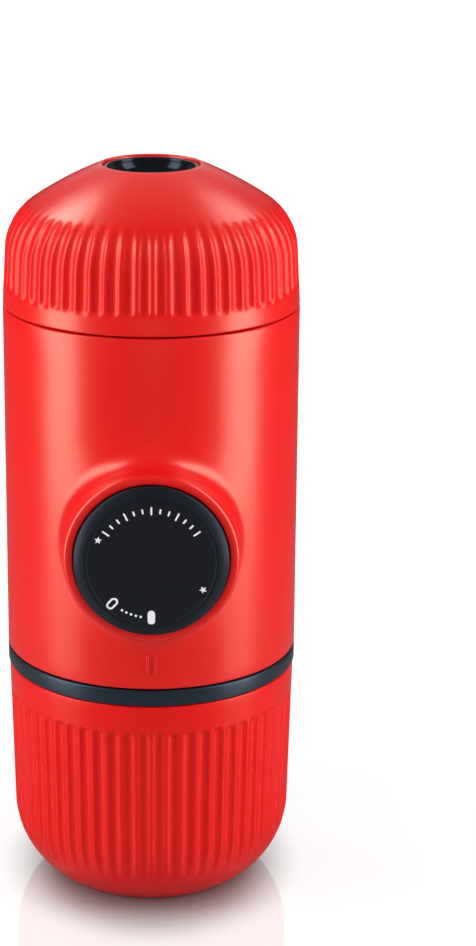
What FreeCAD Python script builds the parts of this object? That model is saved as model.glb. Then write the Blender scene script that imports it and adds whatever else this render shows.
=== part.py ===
import FreeCAD, Part
import os
from math import asin, cos, degrees, radians, sin, sqrt

# Handheld manual espresso maker, standing on its drinking cup. Millimetres, +Z up. The origin is the
# centre of the cup's base, the long axis is Z, and the pump knob faces -Y.
# From the floor up: cup over water tank, body with a cross-wise piston pump, brew chamber, head.

Vector = FreeCAD.Vector
UP = Vector(0, 0, 1)

# ---- overall sizes ----
body_r = 31.0  # smooth body and collar ring
body_height = 74.4
seam = 0.4  # dark line above and below the body
body_wall = 2.0
fit = 0.1  # between pieces that stay put
running = 0.1  # between a bore and what slides or turns in it
loose = 0.3  # between threads and faces that come apart

# ---- head: ribbed dome with the spout hole ----
head_lean = 3.1  # degrees that the side leans in
head_side = 11.6
head_shoulder_bend_r = 12.5
head_shoulder_turn = 52.9
head_crown_r = 81.0
head_wall = 2.0
spout_hole_r = 9.9
spout_lip_r = 0.6

# ---- cup: ribbed, closed by its flat base ----
cup_rim_r = body_r - 0.25
cup_lean = 1.31
cup_side = 32.8
cup_bend_r = 19.07
cup_foot_r = 20.6
cup_wall = 1.8
cup_rim_gap = 0.3

# ---- flutes round the head and the cup ----
flute_count = 60
flute_r = 1.6
flute_depth = 0.6
flute_exit = 5.0  # straight end that leaves the surface
head_flute_start = 4.8  # up from the head's rim
head_flute_bend_r = 14.0
head_flute_turn = 36.0
cup_flute_start = 6.9  # down from the cup's rim
cup_flute_bend_r = 27.8
cup_flute_turn = 17.0

# ---- water tank ----
collar_height = 3.4
tank_gap = 0.6  # round the tank, inside the cup
tank_wall = 1.8
neck_inset = 4.5  # from the body's outside to the neck's outside
neck_wall = 2.0
neck_height = 8.0
band_height = 3.0  # bead that holds the cup
band_drop = 3.0
tank_gasket_height = 1.4

# ---- base frame ----
plate_thickness = 3.0
screw_post_r = 3.0
screw_post_gap = 2.4  # beside the pump's sleeve
screw_post_margin = 0.9  # inside the frame's edge
screw_r = 1.2
screw_head_r = 2.6
screw_head_height = 1.6
screw_length = 12.0
air_valve_angle = 225.0
air_valve_r = 3.2
air_stem_r = 1.1
strainer_r = 4.6
strainer_height = 1.4
strainer_pipe_r = 2.9
strainer_bore_r = 2.2

# ---- pump: barrel axis along Y, lengths measured outward from the long axis ----
pump_gap = 0.9  # from the sleeve to the frame's plate and to the chamber's floor
stroke = 20.0
lock_turn = 45.0
barrel_wall = 2.0
barrel_end_gap = 0.5
piston_length = 8.0
rod_r = 4.5
rod_tip_r = 3.05
barrel_cap_height = 3.0
flange_thickness = 3.0
sleeve_wall = 1.65
column_r = 7.0
column_bore_r = 4.0
column_inset = 3.0  # from the column to the body's inside
port_r = 2.2  # from the column into the barrel
chamber_port_r = 3.0
port_seal_r = 5.3
port_seal_height = 1.2
valve_seat_height = 2.0
valve_disc_r = 3.3
valve_disc_height = 1.2
valve_stem_r = 1.0
valve_stem_length = 3.4
inlet_seat_rise = 4.0  # above the column's foot
outlet_seat_rise = 27.0

# ---- knob and its boss ----
boss_wall = 1.95
boss_reach = 6.6  # out of the body
boss_fillet = 2.6
boss_rim_fillet = 0.8
knob_r = 15.65
knob_gap = 0.2
knob_reach = 9.0  # out of the body
knob_skirt_wall = 1.3
knob_skirt_step = 0.45  # the skirt is thinner than the front
knob_front_length = 8.0
knob_skirt_length = 28.0
knob_chamfer = 1.4
knob_face_r = 13.3
knob_face_thickness = 1.4
knob_web = 3.2
lug_length = 4.0
lug_half_angle = 9.0
ledge_length = 3.7
washer_thickness = 0.8
spring_room = 2.9  # from the barrel to the skirt
spring_wire_r = 0.55
spring_turns = 7.0
mark_height = 4.0  # the two raised bars under the boss
mark_width = 0.55
mark_spacing = 1.6
mark_rise = 3.6
mark_proud = 0.35

# ---- brew chamber, basket, scoop and head inside ----
chamber_floor = 3.0
chamber_wall = 3.6
basket_depth = 21.4  # below the neck's top
ledge_width = 1.0
chamber_rise = 5.7  # of its neck above the head's rim
shoulder_height = 2.0
shoulder_width = 1.4
screen_thickness = 0.8
basket_wall = 0.8
basket_gap = 0.4
basket_rim_width = 2.0
scoop_wall = 1.2
scoop_gap = 0.6
scoop_floor = 2.0
scoop_height = 16.6
head_gasket_height = 1.5
head_gasket_width = 2.7
core_skirt_drop = 9.2  # below the head's rim
core_roof = 2.4
core_ribs = 6
core_rib_thickness = 1.2
drain_r = 3.0
tower_wall = 2.2
bowl_drop = 0.8  # below the lip
bowl_depth = 6.6
nozzle_r = 4.6
nozzle_wall = 0.8
spider_ribs = 3
spider_rib = 0.8
spider_height = 2.6


class Pen:
    """Draws tangent lines and left-hand arcs in the XZ plane, inset to the left of a nominal outline."""

    def __init__(self, r, z, heading, inset=0.0):
        self.heading = heading
        self.inset = inset
        self.at = Vector(r, 0, z) + self.left() * inset
        self.start = self.at
        self.edges = []

    def ahead(self):
        return Vector(cos(radians(self.heading)), 0, sin(radians(self.heading)))

    def left(self):
        return Vector(-sin(radians(self.heading)), 0, cos(radians(self.heading)))

    def line(self, length):
        end = self.at + self.ahead() * length
        self.edges.append(Part.LineSegment(self.at, end).toShape())
        self.at = end

    def line_to(self, r, z):
        end = Vector(r, 0, z)
        self.edges.append(Part.LineSegment(self.at, end).toShape())
        self.at = end

    def arc(self, radius, turn):
        radius -= self.inset
        start, centre = self.at, self.at + self.left() * radius
        self.heading += turn / 2
        middle = centre - self.left() * radius
        self.heading += turn / 2
        self.at = centre - self.left() * radius
        self.edges.append(Part.Arc(start, middle, self.at).toShape())

    def turn_to_reach(self, radius, goal_r):
        """Turn of an uninset arc that ends at the given distance from the axis."""
        return 180 - degrees(asin(sin(radians(self.heading)) - (self.at.x - goal_r) / radius)) - self.heading


def head_pen(inset=0.0):
    """The head's outline from its rim at z = 0 up to the spout hole."""
    nominal = Pen(body_r, 0, 90 + head_lean)
    nominal.line(head_side)
    nominal.arc(head_shoulder_bend_r, head_shoulder_turn)
    crown_turn = nominal.turn_to_reach(head_crown_r, spout_hole_r)
    pen = Pen(body_r, 0, 90 + head_lean, inset)
    pen.line(head_side)
    pen.arc(head_shoulder_bend_r, head_shoulder_turn)
    pen.arc(head_crown_r, crown_turn)
    return pen


def cup_pen(inset=0.0):
    """The cup's outline drawn mouth down, from its rim at z = 0 up to the edge of its base."""
    nominal = Pen(cup_rim_r, 0, 90 + cup_lean)
    nominal.line(cup_side)
    foot_turn = nominal.turn_to_reach(cup_bend_r, cup_foot_r)
    pen = Pen(cup_rim_r, 0, 90 + cup_lean, inset)
    pen.line(cup_side)
    pen.arc(cup_bend_r, foot_turn)
    return pen


# ---- places that follow from the sizes ----
cup_height = cup_pen().at.z
collar_z = cup_height + cup_rim_gap
body_z = collar_z + collar_height + seam
head_z = body_z + body_height + seam
top_z = head_z + head_pen().at.z
shell_r = body_r - body_wall  # inside of the body
frame_r = shell_r - fit

tank_top_r = cup_pen(cup_wall + tank_gap).start.x
band_r = cup_pen(cup_wall + loose).start.x - sin(radians(cup_lean)) * (band_drop + band_height)
neck_r = body_r - neck_inset
neck_top = collar_z + collar_height + neck_height
plate_z = neck_top + tank_gasket_height + fit
plate_top = plate_z + plate_thickness

skirt_r = knob_r - knob_skirt_step
barrel_r = skirt_r - knob_skirt_wall - spring_room
bore_r = barrel_r - barrel_wall
spring_r = barrel_r + spring_room / 2
lug_r = knob_r + knob_gap - running
boss_bore_r = knob_r + knob_gap
boss_r = boss_bore_r + boss_wall
sleeve_bore_r = boss_bore_r + running
sleeve_r = sleeve_bore_r + sleeve_wall
sleeve_front = sqrt((shell_r - loose) ** 2 - sleeve_r**2)
pump_z = plate_top + pump_gap + sleeve_r
floor_z = pump_z + sleeve_r + pump_gap
floor_top = floor_z + chamber_floor

column_out = -(shell_r - column_r - column_inset)
bore_end = column_out + column_r
piston_back = bore_end + barrel_end_gap
piston_front = piston_back + piston_length
barrel_mouth = piston_front + stroke + 2 * barrel_end_gap
knob_front = body_r + knob_reach
face_seat = knob_front - knob_face_thickness
web_back = face_seat - knob_web
knob_back = knob_front - knob_skirt_length
flange_back = bore_end + running
spring_seat = flange_back + flange_thickness
spring_front = web_back - fit - washer_thickness
screw_head_z = plate_z + fit
post_x = sleeve_r + screw_post_r + screw_post_gap
post_y = sqrt((frame_r - screw_post_r - screw_post_margin) ** 2 - post_x**2)
post_spots = [(x, y) for x in (-post_x, post_x) for y in (-post_y, post_y)]

chamber_top = head_z + chamber_rise
ledge_z = chamber_top - basket_depth
chamber_r = neck_r - 0.5
chamber_bore_r = chamber_r - chamber_wall
basket_r = chamber_bore_r - basket_gap
basket_floor_z = ledge_z + screen_thickness + basket_wall
basket_top = chamber_top + basket_wall
gasket_z = basket_top + loose
roof_z = gasket_z + head_gasket_height + fit
roof_top = roof_z + core_roof
gasket_outer_r = chamber_r - loose
gasket_inner_r = gasket_outer_r - head_gasket_width
bowl_top = top_z - bowl_drop
bowl_foot = bowl_top - bowl_depth
bowl_r = spout_hole_r - fit


def turned(edges):
    """Solid of revolution about Z of a closed outline in the XZ plane."""
    wire = Part.Wire(Part.sortEdges(edges)[0])
    return Part.Face(wire).revolve(Vector(), UP, 360)


def lathe(*corners):
    """Solid of revolution about Z of a polygon of (r, z) corners."""
    spots = [Vector(r, 0, z) for r, z in corners]
    return turned(Part.makePolygon(spots + spots[:1]).Edges)


def under(pen):
    """Solid of revolution between a pen's outline and the axis."""
    pen.line_to(0, pen.at.z)
    pen.line_to(0, pen.start.z)
    pen.line_to(pen.start.x, pen.start.z)
    return turned(pen.edges)


def disc(radius, low, high, x=0.0, y=0.0):
    return Part.makeCylinder(radius, high - low, Vector(x, y, low))


def ring(outer_r, inner_r, low, high, x=0.0, y=0.0):
    return disc(outer_r, low, high, x, y).cut(disc(inner_r, low, high, x, y))


def polar(radius, angle):
    return radius * cos(radians(angle)), radius * sin(radians(angle))


def around(shape, count):
    """Copies of a shape spread evenly about Z."""
    copies = []
    for i in range(count):
        copy = shape.copy()
        copy.rotate(Vector(), UP, 360.0 * i / count)
        copies.append(copy)
    return copies


def mouth_up(shape):
    """Turns a cup drawn mouth down onto its base."""
    shape.rotate(Vector(), Vector(1, 0, 0), 180)
    shape.translate(Vector(0, 0, cup_height))
    return shape


def to_pump(shape):
    """Lays a shape drawn along +Z onto the pump's axis, +Z becoming outward."""
    shape.rotate(Vector(), Vector(1, 0, 0), 90)
    shape.translate(Vector(0, 0, pump_z))
    return shape


def round_edges(shape, radius, wanted):
    """Fillets each edge whose middle point passes the test."""
    edges = []
    for edge in shape.Edges:
        middle = edge.valueAt((edge.FirstParameter + edge.LastParameter) / 2)
        if wanted(middle):
            edges.append(edge)
    return shape.makeFillet(radius, edges)


def flute_cutter(rim_r, lean, start, side, bend_r, turn):
    """Round-ended groove cutter that follows the wall and then leaves it over the shoulder."""
    offset = flute_r - flute_depth
    pen = Pen(rim_r, 0, 90 + lean, -offset)
    begin = pen.at + pen.ahead() * start
    ball = Part.makeSphere(flute_r, begin)
    rod = Part.makeCylinder(flute_r, side - start, begin, pen.ahead())
    bend_start = pen.at + pen.ahead() * side
    bend_centre = bend_start + pen.left() * (bend_r + offset)
    disc_wire = Part.Wire(Part.makeCircle(flute_r, bend_start, pen.ahead()))
    bend = Part.Face(disc_wire).revolve(bend_centre, Vector(0, -1, 0), turn)
    pen.line(side)
    pen.arc(bend_r, turn)
    tail = Part.makeCylinder(flute_r, flute_exit, pen.at, pen.ahead())
    return ball.fuse([rod, bend, tail])


def fluted(shell, cutter):
    """Cuts the flutes with a ridge, not a groove, on the side of the knob."""
    cutter.rotate(Vector(), UP, -90 + 180.0 / flute_count)
    return shell.cut(around(cutter, flute_count))


def make_head_shell():
    shell = under(head_pen()).cut(under(head_pen(head_wall)))
    lip_z = head_pen().at.z
    shell = shell.cut(disc(spout_hole_r, 0, lip_z))
    shell = round_edges(shell, spout_lip_r, lambda p: abs(p.z - lip_z) < 0.01)
    cutter = flute_cutter(body_r, head_lean, head_flute_start, head_side, head_flute_bend_r, head_flute_turn)
    shell = fluted(shell, cutter)
    shell.translate(Vector(0, 0, head_z))
    return shell


def make_cup():
    shell = under(cup_pen()).cut(under(cup_pen(cup_wall)))
    cutter = flute_cutter(cup_rim_r, cup_lean, cup_flute_start, cup_side, cup_flute_bend_r, cup_flute_turn)
    return mouth_up(fluted(shell, cutter))


def make_water_tank():
    """Bottle that nests in the cup, drawn mouth down like the cup."""
    shoulder = -cup_rim_gap
    mouth = shoulder - collar_height - neck_height
    tank = under(cup_pen(cup_wall + tank_gap))
    tank = tank.fuse([disc(tank_top_r, shoulder, 0), disc(neck_r, mouth, 0)])
    tank = tank.fuse(disc(band_r, band_drop, band_drop + band_height))
    cavity = under(cup_pen(cup_wall + tank_gap + tank_wall))
    cavity = cavity.cut(disc(body_r, shoulder, shoulder + tank_wall))
    cavity = cavity.fuse(disc(neck_r - neck_wall, mouth, band_drop))
    return mouth_up(tank.cut(cavity).removeSplitter())


def make_tank_gasket():
    """Flat seal between the neck's rim and the frame's plate."""
    return ring(neck_r - fit, neck_r - neck_wall + fit, neck_top + fit / 2, plate_z - fit / 2)


def make_collar_ring():
    return ring(body_r, neck_r + fit / 2, collar_z, collar_z + collar_height)


def make_base_frame():
    """Socket for the tank's neck below, and the plate that carries the pump above."""
    skirt_foot = body_z + fit * 4
    frame = lathe(
        (neck_r + loose, skirt_foot),
        (frame_r, skirt_foot),
        (frame_r, plate_top),
        (0, plate_top),
        (0, plate_z),
        (neck_r + loose, plate_z),
    )
    holes = [disc(strainer_pipe_r + fit, plate_z, plate_top, 0, -column_out)]
    holes.append(disc(air_stem_r + fit, plate_z, plate_top, *air_valve_spot()))
    for x, y in post_spots:
        holes.append(disc(screw_r + fit, plate_z, plate_top, x, y))
        holes.append(disc(screw_head_r + fit, plate_z, screw_head_z + screw_head_height, x, y))
    return frame.cut(holes)


def air_valve_spot():
    return polar((neck_r - neck_wall) / 1.25, air_valve_angle)


def make_frame_screws():
    screws = []
    for x, y in post_spots:
        head_top = screw_head_z + screw_head_height
        head = disc(screw_head_r, screw_head_z, head_top, x, y)
        screws.append(head.fuse(disc(screw_r, screw_head_z, screw_head_z + screw_length, x, y)))
    return Part.makeCompound(screws)


def make_inlet_strainer():
    """Domed strainer whose pipe plugs up into the plate."""
    low = plate_z - strainer_height
    strainer = lathe(
        (0, low),
        (strainer_r - 0.6, low),
        (strainer_r, low + 0.6),
        (strainer_r, plate_z),
        (strainer_pipe_r, plate_z),
        (strainer_pipe_r, plate_top - fit),
        (strainer_bore_r, plate_top - fit),
        (strainer_bore_r, low + 0.7),
        (0, low + 0.7),
    )
    strainer.translate(Vector(0, -column_out, 0))
    return strainer


def make_air_valve():
    """Soft umbrella under the plate, held by a bulb on its stem."""
    bulb_r = air_stem_r + 0.6
    valve = lathe(
        (0, plate_z - 1.0),
        (air_valve_r - 0.8, plate_z - 1.0),
        (air_valve_r, plate_z - 0.05),
        (air_stem_r, plate_z - 0.05),
        (air_stem_r, plate_top + 0.05),
        (bulb_r, plate_top + 0.05),
        (bulb_r, plate_top + 0.9),
        (0, plate_top + 2.4),
    )
    valve.translate(Vector(*air_valve_spot(), 0))
    return valve


def make_pump_housing():
    """Barrel, outer sleeve for the knob's skirt, and the upright valve column, moulded as one."""
    barrel = disc(barrel_r, bore_end - barrel_wall, barrel_mouth)
    flange = disc(sleeve_r, flange_back, spring_seat)
    sleeve = ring(sleeve_r, sleeve_bore_r, spring_seat, sleeve_front)
    ledge_back = knob_back + lug_length + loose
    ledge = ring(sleeve_bore_r + fit, skirt_r + running, ledge_back, ledge_back + ledge_length)
    sweep = 2 * lug_half_angle + lock_turn + 8
    keyways = []
    for side in (0, 180):
        way = Part.makeCylinder(sleeve_bore_r, ledge_length, Vector(0, 0, ledge_back), UP, sweep)
        way.rotate(Vector(), UP, side + 90 - lug_half_angle - 4)
        keyways.append(way)
    ledge = ledge.cut(keyways)
    housing = to_pump(barrel.fuse([flange, sleeve, ledge]))
    column = disc(column_r, plate_top, floor_z, 0, -column_out)
    housing = housing.fuse(column)
    bore = to_pump(disc(bore_r, bore_end, barrel_mouth))
    port = to_pump(disc(port_r, column_out, bore_end))
    seal_bore = port_seal_r + fit
    hollows = [
        bore,
        port,
        disc(column_bore_r, plate_top, floor_z, 0, -column_out),
        disc(seal_bore, plate_top, plate_top + port_seal_height, 0, -column_out),
        disc(seal_bore, floor_z - port_seal_height, floor_z, 0, -column_out),
    ]
    return housing.cut(hollows).removeSplitter()


def make_port_seals():
    seals = []
    for low in (plate_top, floor_z - port_seal_height):
        seals.append(ring(port_seal_r, column_bore_r - 0.6, low, low + port_seal_height, 0, -column_out))
    return Part.makeCompound(seals)


def make_barrel_cap():
    cap = ring(barrel_r, rod_r + running, barrel_mouth, barrel_mouth + barrel_cap_height)
    spigot = ring(bore_r - fit / 2, rod_r + running, barrel_mouth - barrel_end_gap, barrel_mouth)
    return to_pump(cap.fuse(spigot))


def make_valve_seat(rise):
    low = plate_top + rise
    return ring(column_bore_r - fit / 2, valve_stem_r * 2, low, low + valve_seat_height, 0, -column_out)


def make_valve(rise):
    """Poppet that lies on its seat, with its stem through it."""
    top = plate_top + rise + valve_seat_height + fit / 2
    valve = lathe(
        (0, top - valve_stem_length),
        (valve_stem_r, top - valve_stem_length),
        (valve_stem_r, top),
        (valve_disc_r, top),
        (valve_disc_r, top + valve_disc_height / 2),
        (valve_stem_r, top + valve_disc_height),
        (0, top + valve_disc_height),
    )
    valve.translate(Vector(0, -column_out, 0))
    return valve


def make_piston():
    face_r = bore_r - running
    groove_low = piston_back + piston_length * 0.35
    groove_high = groove_low + piston_length * 0.3
    piston = lathe(
        (0, piston_back),
        (face_r - 0.5, piston_back),
        (face_r, piston_back + 0.5),
        (face_r, groove_low),
        (face_r - 2, groove_low),
        (face_r - 2, groove_high),
        (face_r, groove_high),
        (face_r, piston_front),
        (rod_tip_r, piston_front),
        (rod_tip_r, piston_back + 2),
        (0, piston_back + 2),
    )
    return to_pump(piston)


def make_piston_seal():
    low = piston_back + piston_length * 0.35 + fit / 2
    high = low + piston_length * 0.3 - fit
    return to_pump(ring(bore_r - running / 2, bore_r - running - 2 + fit / 2, low, high))


def make_piston_rod():
    tip = rod_tip_r - fit / 2
    shoulder = piston_front + fit / 2
    front = web_back - running
    rod = lathe(
        (0, piston_back + 2 + fit),
        (tip, piston_back + 2 + fit),
        (tip, shoulder),
        (rod_r, shoulder),
        (rod_r, front),
        (tip, front),
        (tip, web_back + knob_web - 1.4),
        (0, web_back + knob_web - 1.4),
    )
    screw_hole = disc(screw_r + fit / 2, front - 8, web_back + knob_web)
    return to_pump(rod.cut(screw_hole))


def make_knob_screw():
    """Screw in the rod's tip, whose wide head keeps the knob on."""
    head_low = web_back + knob_web - 1.1
    head = disc(rod_r, head_low, face_seat - fit)
    return to_pump(head.fuse(disc(screw_r, web_back - 7, head_low)))


def make_spring_washer():
    return to_pump(ring(spring_r + 0.8, spring_r - 0.8, spring_front, spring_front + washer_thickness))


def make_return_spring():
    low = spring_seat + spring_wire_r + loose
    high = spring_front - spring_wire_r - loose
    helix = Part.makeHelix((high - low) / spring_turns, high - low, spring_r)
    corners = []
    for i in range(7):
        across, along = polar(spring_wire_r, 60 * i)
        corners.append(Vector(spring_r + across, 0, along))
    section = Part.makePolygon(corners)
    spring = Part.Wire(helix).makePipeShell([section], True, True)
    spring.translate(Vector(0, 0, low))
    return to_pump(spring)


def make_knob():
    """Hollow knob: sloped front edge, web with the rod's bearing, skirt with two lock lugs."""
    step = knob_front - knob_front_length
    recess = knob_face_r + fit
    knob = lathe(
        (skirt_r - knob_skirt_wall, knob_back),
        (skirt_r, knob_back),
        (skirt_r, step),
        (knob_r, step + knob_skirt_step),
        (knob_r, knob_front - knob_chamfer),
        (recess, knob_front),
        (recess, face_seat),
        (rod_r + loose, face_seat),
        (rod_r + loose, web_back + knob_web - 1.2),
        (rod_tip_r + running / 2, web_back + knob_web - 1.2),
        (rod_tip_r + running / 2, web_back),
        (skirt_r - knob_skirt_wall, web_back),
    )
    lugs = []
    for side in (0, 180):
        lug = Part.makeCylinder(lug_r, lug_length, Vector(0, 0, knob_back), UP, 2 * lug_half_angle)
        lug = lug.cut(disc(skirt_r - knob_skirt_wall / 2, knob_back, knob_back + lug_length))
        lug.rotate(Vector(), UP, side + 90 - lug_half_angle)
        lugs.append(lug)
    return to_pump(knob.fuse(lugs))


def make_knob_face():
    face = disc(knob_face_r, face_seat, knob_front)
    return to_pump(face)


def make_body_shell():
    """Smooth tube with the round boss for the knob, blended in by a fillet."""
    body = disc(body_r, body_z, body_z + body_height)
    boss = to_pump(disc(boss_r, 0, body_r + boss_reach))
    body = body.fuse(boss)

    def on_both(p):
        on_boss = abs(sqrt(p.x**2 + (p.z - pump_z) ** 2) - boss_r) < 0.01
        return on_boss and abs(sqrt(p.x**2 + p.y**2) - body_r) < 0.01 and p.y < 0

    body = round_edges(body, boss_fillet, on_both)
    body = round_edges(body, boss_rim_fillet, lambda p: abs(p.y + body_r + boss_reach) < 0.01)
    body = body.cut(disc(shell_r, body_z, body_z + body_height))
    body = body.cut(to_pump(disc(boss_bore_r, 0, body_r + boss_reach)))
    shoulder = ring(shell_r + fit, shell_r - shoulder_width, floor_top + fit, floor_top + fit + shoulder_height)
    return body.fuse([shoulder] + make_marks()).removeSplitter()


def make_marks():
    """Two raised bars on the body below the boss."""
    skin = ring(body_r + mark_proud, body_r - mark_proud, body_z, pump_z)
    marks = []
    for side in (-1, 1):
        corner = Vector(side * mark_spacing / 2 - mark_width / 2, -2 * body_r, body_z + mark_rise)
        bar = Part.makeBox(mark_width, 2 * body_r, mark_height, corner)
        marks.append(bar.common(skin))
    return marks


def make_brew_chamber():
    """Chamber with its threaded neck, its flange in the body, and four posts down to the frame."""
    chamber = lathe(
        (0, floor_z),
        (frame_r, floor_z),
        (frame_r, floor_top),
        (chamber_r, floor_top),
        (chamber_r, chamber_top),
        (chamber_bore_r, chamber_top),
        (chamber_bore_r, ledge_z),
        (chamber_bore_r - ledge_width, ledge_z),
        (chamber_bore_r - ledge_width, floor_top),
        (0, floor_top),
    )
    posts = [disc(screw_post_r, plate_top, floor_z, x, y) for x, y in post_spots]
    holes = [disc(chamber_port_r, floor_z, floor_top, 0, -column_out)]
    for x, y in post_spots:
        holes.append(disc(screw_r + fit / 2, plate_top, plate_top + screw_length, x, y))
    return chamber.fuse(posts).cut(holes)


def make_shower_screen():
    return disc(chamber_bore_r - fit, ledge_z, ledge_z + screen_thickness)


def make_filter_basket():
    low = basket_floor_z - basket_wall
    return lathe(
        (0, low),
        (basket_r, low),
        (basket_r, chamber_top),
        (basket_r + basket_rim_width, chamber_top),
        (basket_r + basket_rim_width, basket_top),
        (basket_r - basket_wall, basket_top),
        (basket_r - basket_wall, basket_floor_z),
        (0, basket_floor_z),
    )


def make_scoop():
    """Measuring scoop stored in the basket, whose flat floor is also the tamper."""
    outer = basket_r - basket_wall - scoop_gap
    low = basket_floor_z + fit
    return lathe(
        (0, low),
        (outer, low),
        (outer, low + scoop_floor),
        (outer - 0.8, low + scoop_floor + 0.8),
        (outer - 0.8, low + scoop_height - 2.0),
        (outer, low + scoop_height - 1.2),
        (outer, low + scoop_height),
        (outer - 0.8 - scoop_wall, low + scoop_height),
        (outer - 0.8 - scoop_wall, low + scoop_floor),
        (0, low + scoop_floor),
    )


def make_head_gasket():
    return ring(gasket_outer_r, gasket_inner_r, gasket_z, gasket_z + head_gasket_height)


def make_outlet_screen():
    high = gasket_z + head_gasket_height
    return disc(gasket_inner_r - fit, high - screen_thickness, high)


def make_portafilter_core():
    """Inner moulding of the head: threaded skirt, roof with the drain, tower and ribs."""
    skirt_foot = head_z - core_skirt_drop
    skirt_r = shell_r - 0.5
    skirt = ring(skirt_r, chamber_r + loose + fit, skirt_foot, head_z + 1)
    space = under(head_pen(head_wall + fit))
    space.translate(Vector(0, 0, head_z))
    low = head_z + seam
    wall = ring(body_r, chamber_r + loose + fit, low, roof_top).common(space)
    roof = disc(body_r, roof_z, roof_top).common(space)
    tower_r = drain_r + tower_wall
    tower = disc(tower_r, roof_z, bowl_foot - fit / 2)
    rib = Part.makeBox(body_r, core_rib_thickness, top_z - roof_z, Vector(0, -core_rib_thickness / 2, roof_z))
    ribs = [copy.common(space) for copy in around(rib, core_ribs)]
    keep_clear = disc(bowl_r, bowl_foot - fit / 2, top_z)
    core = roof.fuse([skirt, wall, tower] + ribs)
    return core.cut([disc(drain_r, roof_z, top_z), keep_clear]).removeSplitter()


def make_spout_bowl():
    """Glossy bowl in the spout hole, with the nozzle's raised ring in its floor."""
    floor = bowl_top - bowl_depth * 0.55
    nozzle_top = floor + 1.3
    ring_r = nozzle_r + nozzle_wall
    foot_r = drain_r + tower_wall
    pen = Pen(bowl_r, bowl_top, 0)
    pen.line_to(bowl_r, floor + 1.0)
    pen.line_to(foot_r + 0.6, bowl_foot + 0.8)
    pen.line_to(foot_r + 0.6, bowl_foot)
    pen.line_to(nozzle_r, bowl_foot)
    pen.line_to(nozzle_r, nozzle_top)
    pen.line_to(ring_r, nozzle_top)
    pen.line_to(ring_r, floor)
    curve_r = bowl_r - 0.7
    pen.edges.append(
        Part.Arc(
            Vector(ring_r, 0, floor),
            Vector(ring_r + (curve_r - ring_r) * 0.7, 0, floor + (bowl_top - floor) * 0.3),
            Vector(curve_r, 0, bowl_top),
        ).toShape()
    )
    pen.at = Vector(curve_r, 0, bowl_top)
    pen.line_to(bowl_r, bowl_top)
    return turned(pen.edges)


def make_spout_spider():
    """Small ribbed insert that steadies the stream inside the nozzle ring."""
    outer = nozzle_r - fit / 2
    low = bowl_foot + fit
    spider = ring(outer, outer - spider_rib, low, low + spider_height)
    rib = Part.makeBox(outer - spider_rib / 2, spider_rib, spider_height, Vector(0, -spider_rib / 2, low))
    hub = disc(spider_rib, low, low + spider_height)
    return spider.fuse([hub] + around(rib, spider_ribs)).removeSplitter()


NODES = {
    "head_shell": make_head_shell,
    "spout_bowl": make_spout_bowl,
    "spout_spider": make_spout_spider,
    "portafilter_core": make_portafilter_core,
    "outlet_screen": make_outlet_screen,
    "head_gasket": make_head_gasket,
    "filter_basket": make_filter_basket,
    "scoop": make_scoop,
    "shower_screen": make_shower_screen,
    "brew_chamber": make_brew_chamber,
    "body_shell": make_body_shell,
    "base_frame": make_base_frame,
    "frame_screws": make_frame_screws,
    "inlet_strainer": make_inlet_strainer,
    "air_valve": make_air_valve,
    "port_seals": make_port_seals,
    "pump_housing": make_pump_housing,
    "barrel_cap": make_barrel_cap,
    "inlet_seat": lambda: make_valve_seat(inlet_seat_rise),
    "inlet_valve": lambda: make_valve(inlet_seat_rise),
    "outlet_seat": lambda: make_valve_seat(outlet_seat_rise),
    "outlet_valve": lambda: make_valve(outlet_seat_rise),
    "piston": make_piston,
    "piston_seal": make_piston_seal,
    "piston_rod": make_piston_rod,
    "knob_screw": make_knob_screw,
    "spring_washer": make_spring_washer,
    "return_spring": make_return_spring,
    "knob": make_knob,
    "knob_face": make_knob_face,
    "water_tank": make_water_tank,
    "collar_ring": make_collar_ring,
    "tank_gasket": make_tank_gasket,
    "cup": make_cup,
}


def main():
    os.makedirs("parts", exist_ok=True)
    for name, make in NODES.items():
        make().exportStep(f"parts/{name}.step")


main()
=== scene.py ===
from math import asin, atan2, copysign, cos, hypot, pi, radians, sin, sqrt, tan, tau

import bmesh
import bpy
from bpy.props import FloatProperty, FloatVectorProperty, IntProperty, PointerProperty
from mathutils import Matrix, Vector


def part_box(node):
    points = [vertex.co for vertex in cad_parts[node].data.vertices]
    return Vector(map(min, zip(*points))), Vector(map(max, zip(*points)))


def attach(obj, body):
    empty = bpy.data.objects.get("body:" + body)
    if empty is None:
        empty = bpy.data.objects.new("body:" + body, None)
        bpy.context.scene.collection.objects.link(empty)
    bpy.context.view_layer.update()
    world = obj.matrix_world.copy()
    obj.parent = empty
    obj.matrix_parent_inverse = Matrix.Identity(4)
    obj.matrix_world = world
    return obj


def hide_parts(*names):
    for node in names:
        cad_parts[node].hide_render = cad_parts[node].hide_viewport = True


bl_info = {
    "name": "Handheld Espresso Maker",
    "version": (1, 0, 0),
    "blender": (4, 5, 0),
    "location": "View3D > Sidebar > Espresso Maker",
    "description": "Shells, markings, threads and finishes of a handheld espresso maker",
    "category": "Object",
}

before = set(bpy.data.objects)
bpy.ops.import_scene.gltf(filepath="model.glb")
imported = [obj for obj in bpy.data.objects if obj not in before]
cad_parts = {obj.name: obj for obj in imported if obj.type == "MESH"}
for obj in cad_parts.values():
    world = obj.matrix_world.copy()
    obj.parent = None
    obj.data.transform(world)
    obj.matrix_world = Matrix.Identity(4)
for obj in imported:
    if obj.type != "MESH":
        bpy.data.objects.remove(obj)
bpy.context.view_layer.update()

MM = 0.001
NEAR = 0.02 * MM
UP = Vector((0, 0, 1))


# ---- sizes that the frame gives ----
def upright(node):
    """Radius, low end and high end of a node that is round about the long axis."""
    low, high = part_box(node)
    return high.x, low.z, high.z


def crosswise(node):
    """Radius, back end and front end of a node that is round about the pump's axis."""
    low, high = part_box(node)
    return high.x, -high.y, -low.y


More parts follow.
